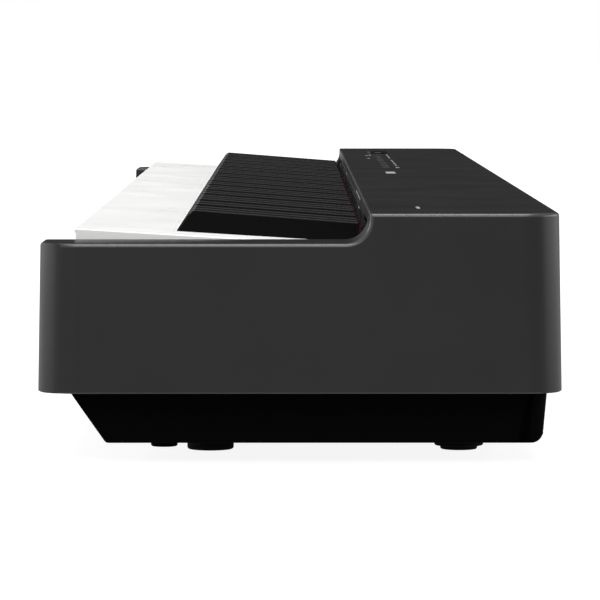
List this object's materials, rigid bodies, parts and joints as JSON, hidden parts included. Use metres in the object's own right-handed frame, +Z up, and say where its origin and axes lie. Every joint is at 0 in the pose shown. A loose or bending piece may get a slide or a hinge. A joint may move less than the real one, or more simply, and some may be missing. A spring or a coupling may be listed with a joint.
{
  "type": "digital piano",
  "caption": "Portable full-size digital piano: slab case with raised rear panel and side arms, hinged weighted keys, panel buttons, volume slider, sockets and rubber feet.",
  "frame": {"origin": "centre of the case's footprint, on the surface that the feet stand on", "axes": "+X to the player's right along the keyboard, +Y from the player to the rear, +Z up"},
  "size_m": [1.326, 0.268, 0.1293],
  "materials": {
    "case_plastic": "fine-grained charcoal moulding",
    "tray_plastic": "near-black textured moulding",
    "white_key": "satin white",
    "black_key": "matt black",
    "key_felt": "dark red felt",
    "foot_rubber": "moulded rubber",
    "frame_steel": "plated pressed sheet",
    "speaker_metal": "black paint, paper cone",
    "circuit_board": "green solder mask",
    "control_plastic": "black moulding"
  },
  "bodies": {
    "case": {"upper_case": "case_plastic", "key_slip": "case_plastic", "lower_case": "tray_plastic", "key_frame": "frame_steel", "key_felt": "key_felt", "main_board": "circuit_board", "rear_jack_panel": "control_plastic", "phones_jack_panel": "control_plastic", "volume_slider_base": "control_plastic", "front_foot_left": "foot_rubber", "front_foot_right": "foot_rubber", "rear_foot_left": "foot_rubber", "rear_foot_right": "foot_rubber", "sound_slot_left": "control_plastic", "sound_slot_right": "control_plastic", "speaker_left": "speaker_metal", "speaker_right": "speaker_metal"},
    "function_button_1": {"function_button_1": "control_plastic"},
    "function_button_2": {"function_button_2": "control_plastic"},
    "function_button_3": {"function_button_3": "control_plastic"},
    "function_button_4": {"function_button_4": "control_plastic"},
    "function_button_5": {"function_button_5": "control_plastic"},
    "function_button_6": {"function_button_6": "control_plastic"},
    "function_button_7": {"function_button_7": "control_plastic"},
    "function_button_8": {"function_button_8": "control_plastic"},
    "key_a4": {"key_a4": "white_key"},
    "key_a_sharp0": {"key_a_sharp0": "black_key"},
    "key_a_sharp4": {"key_a_sharp4": "black_key"},
    "key_b4": {"key_b4": "white_key"},
    "key_c4": {"key_c4": "white_key"},
    "key_c8": {"key_c8": "white_key"},
    "key_c_sharp4": {"key_c_sharp4": "black_key"},
    "key_d4": {"key_d4": "white_key"},
    "key_d_sharp4": {"key_d_sharp4": "black_key"},
    "key_e4": {"key_e4": "white_key"},
    "key_f4": {"key_f4": "white_key"},
    "key_f_sharp4": {"key_f_sharp4": "black_key"},
    "key_g4": {"key_g4": "white_key"},
    "key_g_sharp4": {"key_g_sharp4": "black_key"},
    "keys_a0_b0": {"keys_a0_b0": "white_key"},
    "octave_1_keys_c_e_g_b": {"octave_1_keys_c_e_g_b": "white_key"},
    "octave_1_keys_d_f_a": {"octave_1_keys_d_f_a": "white_key"},
    "octave_1_keys_sharps": {"octave_1_keys_sharps": "black_key"},
    "octave_2_keys_c_e_g_b": {"octave_2_keys_c_e_g_b": "white_key"},
    "octave_2_keys_d_f_a": {"octave_2_keys_d_f_a": "white_key"},
    "octave_2_keys_sharps": {"octave_2_keys_sharps": "black_key"},
    "octave_3_keys_c_e_g_b": {"octave_3_keys_c_e_g_b": "white_key"},
    "octave_3_keys_d_f_a": {"octave_3_keys_d_f_a": "white_key"},
    "octave_3_keys_sharps": {"octave_3_keys_sharps": "black_key"},
    "octave_5_keys_c_e_g_b": {"octave_5_keys_c_e_g_b": "white_key"},
    "octave_5_keys_d_f_a": {"octave_5_keys_d_f_a": "white_key"},
    "octave_5_keys_sharps": {"octave_5_keys_sharps": "black_key"},
    "octave_6_keys_c_e_g_b": {"octave_6_keys_c_e_g_b": "white_key"},
    "octave_6_keys_d_f_a": {"octave_6_keys_d_f_a": "white_key"},
    "octave_6_keys_sharps": {"octave_6_keys_sharps": "black_key"},
    "octave_7_keys_c_e_g_b": {"octave_7_keys_c_e_g_b": "white_key"},
    "octave_7_keys_d_f_a": {"octave_7_keys_d_f_a": "white_key"},
    "octave_7_keys_sharps": {"octave_7_keys_sharps": "black_key"},
    "power_button": {"power_button": "control_plastic"},
    "volume_slider_cap": {"volume_slider_cap": "control_plastic"}
  },
  "joints": [
    {"name": "function_button_1_press", "type": "slide", "parent": "case", "child": "function_button_1", "axis": [0, 0, -1], "range_m": [0, 0.0008], "stiffness_N_per_m": 150, "springref_m": -0.002},
    {"name": "function_button_2_press", "type": "slide", "parent": "case", "child": "function_button_2", "axis": [0, 0, -1], "range_m": [0, 0.0008], "stiffness_N_per_m": 150, "springref_m": -0.002},
    {"name": "function_button_3_press", "type": "slide", "parent": "case", "child": "function_button_3", "axis": [0, 0, -1], "range_m": [0, 0.0008], "stiffness_N_per_m": 150, "springref_m": -0.002},
    {"name": "function_button_4_press", "type": "slide", "parent": "case", "child": "function_button_4", "axis": [0, 0, -1], "range_m": [0, 0.0008], "stiffness_N_per_m": 150, "springref_m": -0.002},
    {"name": "function_button_5_press", "type": "slide", "parent": "case", "child": "function_button_5", "axis": [0, 0, -1], "range_m": [0, 0.0008], "stiffness_N_per_m": 150, "springref_m": -0.002},
    {"name": "function_button_6_press", "type": "slide", "parent": "case", "child": "function_button_6", "axis": [0, 0, -1], "range_m": [0, 0.0008], "stiffness_N_per_m": 150, "springref_m": -0.002},
    {"name": "function_button_7_press", "type": "slide", "parent": "case", "child": "function_button_7", "axis": [0, 0, -1], "range_m": [0, 0.0008], "stiffness_N_per_m": 150, "springref_m": -0.002},
    {"name": "function_button_8_press", "type": "slide", "parent": "case", "child": "function_button_8", "axis": [0, 0, -1], "range_m": [0, 0.0008], "stiffness_N_per_m": 150, "springref_m": -0.002},
    {"name": "key_a4_press", "type": "hinge", "parent": "case", "child": "key_a4", "pos_m": [0, 0.097, 0.098], "axis": [1, 0, 0], "range_deg": [0, 2.66], "stiffness_Nm_per_rad": 0.5, "springref_deg": -9.74},
    {"name": "key_a_sharp0_press", "type": "hinge", "parent": "case", "child": "key_a_sharp0", "pos_m": [0, 0.097, 0.098], "axis": [1, 0, 0], "range_deg": [0, 3.4], "stiffness_Nm_per_rad": 0.4, "springref_deg": -9.74},
    {"name": "key_a_sharp4_press", "type": "hinge", "parent": "case", "child": "key_a_sharp4", "pos_m": [0, 0.097, 0.098], "axis": [1, 0, 0], "range_deg": [0, 3.4], "stiffness_Nm_per_rad": 0.4, "springref_deg": -9.74},
    {"name": "key_b4_press", "type": "hinge", "parent": "case", "child": "key_b4", "pos_m": [0, 0.097, 0.098], "axis": [1, 0, 0], "range_deg": [0, 2.66], "stiffness_Nm_per_rad": 0.5, "springref_deg": -9.74},
    {"name": "key_c4_press", "type": "hinge", "parent": "case", "child": "key_c4", "pos_m": [0, 0.097, 0.098], "axis": [1, 0, 0], "range_deg": [0, 2.66], "stiffness_Nm_per_rad": 0.5, "springref_deg": -9.74},
    {"name": "key_c8_press", "type": "hinge", "parent": "case", "child": "key_c8", "pos_m": [0, 0.097, 0.098], "axis": [1, 0, 0], "range_deg": [0, 2.66], "stiffness_Nm_per_rad": 0.5, "springref_deg": -9.74},
    {"name": "key_c_sharp4_press", "type": "hinge", "parent": "case", "child": "key_c_sharp4", "pos_m": [0, 0.097, 0.098], "axis": [1, 0, 0], "range_deg": [0, 3.4], "stiffness_Nm_per_rad": 0.4, "springref_deg": -9.74},
    {"name": "key_d4_press", "type": "hinge", "parent": "case", "child": "key_d4", "pos_m": [0, 0.097, 0.098], "axis": [1, 0, 0], "range_deg": [0, 2.66], "stiffness_Nm_per_rad": 0.5, "springref_deg": -9.74},
    {"name": "key_d_sharp4_press", "type": "hinge", "parent": "case", "child": "key_d_sharp4", "pos_m": [0, 0.097, 0.098], "axis": [1, 0, 0], "range_deg": [0, 3.4], "stiffness_Nm_per_rad": 0.4, "springref_deg": -9.74},
    {"name": "key_e4_press", "type": "hinge", "parent": "case", "child": "key_e4", "pos_m": [0, 0.097, 0.098], "axis": [1, 0, 0], "range_deg": [0, 2.66], "stiffness_Nm_per_rad": 0.5, "springref_deg": -9.74},
    {"name": "key_f4_press", "type": "hinge", "parent": "case", "child": "key_f4", "pos_m": [0, 0.097, 0.098], "axis": [1, 0, 0], "range_deg": [0, 2.66], "stiffness_Nm_per_rad": 0.5, "springref_deg": -9.74},
    {"name": "key_f_sharp4_press", "type": "hinge", "parent": "case", "child": "key_f_sharp4", "pos_m": [0, 0.097, 0.098], "axis": [1, 0, 0], "range_deg": [0, 3.4], "stiffness_Nm_per_rad": 0.4, "springref_deg": -9.74},
    {"name": "key_g4_press", "type": "hinge", "parent": "case", "child": "key_g4", "pos_m": [0, 0.097, 0.098], "axis": [1, 0, 0], "range_deg": [0, 2.66], "stiffness_Nm_per_rad": 0.5, "springref_deg": -9.74},
    {"name": "key_g_sharp4_press", "type": "hinge", "parent": "case", "child": "key_g_sharp4", "pos_m": [0, 0.097, 0.098], "axis": [1, 0, 0], "range_deg": [0, 3.4], "stiffness_Nm_per_rad": 0.4, "springref_deg": -9.74},
    {"name": "keys_a0_b0_press", "type": "hinge", "parent": "case", "child": "keys_a0_b0", "pos_m": [0, 0.097, 0.098], "axis": [1, 0, 0], "range_deg": [0, 2.66], "stiffness_Nm_per_rad": 1, "springref_deg": -9.74},
    {"name": "octave_1_keys_c_e_g_b_press", "type": "hinge", "parent": "case", "child": "octave_1_keys_c_e_g_b", "pos_m": [0, 0.097, 0.098], "axis": [1, 0, 0], "range_deg": [0, 2.66], "stiffness_Nm_per_rad": 2, "springref_deg": -9.74},
    {"name": "octave_1_keys_d_f_a_press", "type": "hinge", "parent": "case", "child": "octave_1_keys_d_f_a", "pos_m": [0, 0.097, 0.098], "axis": [1, 0, 0], "range_deg": [0, 2.66], "stiffness_Nm_per_rad": 1.5, "springref_deg": -9.74},
    {"name": "octave_1_keys_sharps_press", "type": "hinge", "parent": "case", "child": "octave_1_keys_sharps", "pos_m": [0, 0.097, 0.098], "axis": [1, 0, 0], "range_deg": [0, 3.4], "stiffness_Nm_per_rad": 1.5, "springref_deg": -9.74},
    {"name": "octave_2_keys_c_e_g_b_press", "type": "hinge", "parent": "case", "child": "octave_2_keys_c_e_g_b", "pos_m": [0, 0.097, 0.098], "axis": [1, 0, 0], "range_deg": [0, 2.66], "stiffness_Nm_per_rad": 2, "springref_deg": -9.74},
    {"name": "octave_2_keys_d_f_a_press", "type": "hinge", "parent": "case", "child": "octave_2_keys_d_f_a", "pos_m": [0, 0.097, 0.098], "axis": [1, 0, 0], "range_deg": [0, 2.66], "stiffness_Nm_per_rad": 1.5, "springref_deg": -9.74},
    {"name": "octave_2_keys_sharps_press", "type": "hinge", "parent": "case", "child": "octave_2_keys_sharps", "pos_m": [0, 0.097, 0.098], "axis": [1, 0, 0], "range_deg": [0, 3.4], "stiffness_Nm_per_rad": 1.5, "springref_deg": -9.74},
    {"name": "octave_3_keys_c_e_g_b_press", "type": "hinge", "parent": "case", "child": "octave_3_keys_c_e_g_b", "pos_m": [0, 0.097, 0.098], "axis": [1, 0, 0], "range_deg": [0, 2.66], "stiffness_Nm_per_rad": 2, "springref_deg": -9.74},
    {"name": "octave_3_keys_d_f_a_press", "type": "hinge", "parent": "case", "child": "octave_3_keys_d_f_a", "pos_m": [0, 0.097, 0.098], "axis": [1, 0, 0], "range_deg": [0, 2.66], "stiffness_Nm_per_rad": 1.5, "springref_deg": -9.74},
    {"name": "octave_3_keys_sharps_press", "type": "hinge", "parent": "case", "child": "octave_3_keys_sharps", "pos_m": [0, 0.097, 0.098], "axis": [1, 0, 0], "range_deg": [0, 3.4], "stiffness_Nm_per_rad": 1.5, "springref_deg": -9.74},
    {"name": "octave_5_keys_c_e_g_b_press", "type": "hinge", "parent": "case", "child": "octave_5_keys_c_e_g_b", "pos_m": [0, 0.097, 0.098], "axis": [1, 0, 0], "range_deg": [0, 2.66], "stiffness_Nm_per_rad": 2, "springref_deg": -9.74},
    {"name": "octave_5_keys_d_f_a_press", "type": "hinge", "parent": "case", "child": "octave_5_keys_d_f_a", "pos_m": [0, 0.097, 0.098], "axis": [1, 0, 0], "range_deg": [0, 2.66], "stiffness_Nm_per_rad": 1.5, "springref_deg": -9.74},
    {"name": "octave_5_keys_sharps_press", "type": "hinge", "parent": "case", "child": "octave_5_keys_sharps", "pos_m": [0, 0.097, 0.098], "axis": [1, 0, 0], "range_deg": [0, 3.4], "stiffness_Nm_per_rad": 1.5, "springref_deg": -9.74},
    {"name": "octave_6_keys_c_e_g_b_press", "type": "hinge", "parent": "case", "child": "octave_6_keys_c_e_g_b", "pos_m": [0, 0.097, 0.098], "axis": [1, 0, 0], "range_deg": [0, 2.66], "stiffness_Nm_per_rad": 2, "springref_deg": -9.74},
    {"name": "octave_6_keys_d_f_a_press", "type": "hinge", "parent": "case", "child": "octave_6_keys_d_f_a", "pos_m": [0, 0.097, 0.098], "axis": [1, 0, 0], "range_deg": [0, 2.66], "stiffness_Nm_per_rad": 1.5, "springref_deg": -9.74},
    {"name": "octave_6_keys_sharps_press", "type": "hinge", "parent": "case", "child": "octave_6_keys_sharps", "pos_m": [0, 0.097, 0.098], "axis": [1, 0, 0], "range_deg": [0, 3.4], "stiffness_Nm_per_rad": 1.5, "springref_deg": -9.74},
    {"name": "octave_7_keys_c_e_g_b_press", "type": "hinge", "parent": "case", "child": "octave_7_keys_c_e_g_b", "pos_m": [0, 0.097, 0.098], "axis": [1, 0, 0], "range_deg": [0, 2.66], "stiffness_Nm_per_rad": 2, "springref_deg": -9.74},
    {"name": "octave_7_keys_d_f_a_press", "type": "hinge", "parent": "case", "child": "octave_7_keys_d_f_a", "pos_m": [0, 0.097, 0.098], "axis": [1, 0, 0], "range_deg": [0, 2.66], "stiffness_Nm_per_rad": 1.5, "springref_deg": -9.74},
    {"name": "octave_7_keys_sharps_press", "type": "hinge", "parent": "case", "child": "octave_7_keys_sharps", "pos_m": [0, 0.097, 0.098], "axis": [1, 0, 0], "range_deg": [0, 3.4], "stiffness_Nm_per_rad": 1.5, "springref_deg": -9.74},
    {"name": "power_button_press", "type": "slide", "parent": "case", "child": "power_button", "axis": [0, 0, -1], "range_m": [0, 0.0008], "stiffness_N_per_m": 150, "springref_m": -0.002},
    {"name": "volume_slide", "type": "slide", "parent": "case", "child": "volume_slider_cap", "axis": [1, 0, 0], "range_m": [-0.029, 0.029]}
  ]
}
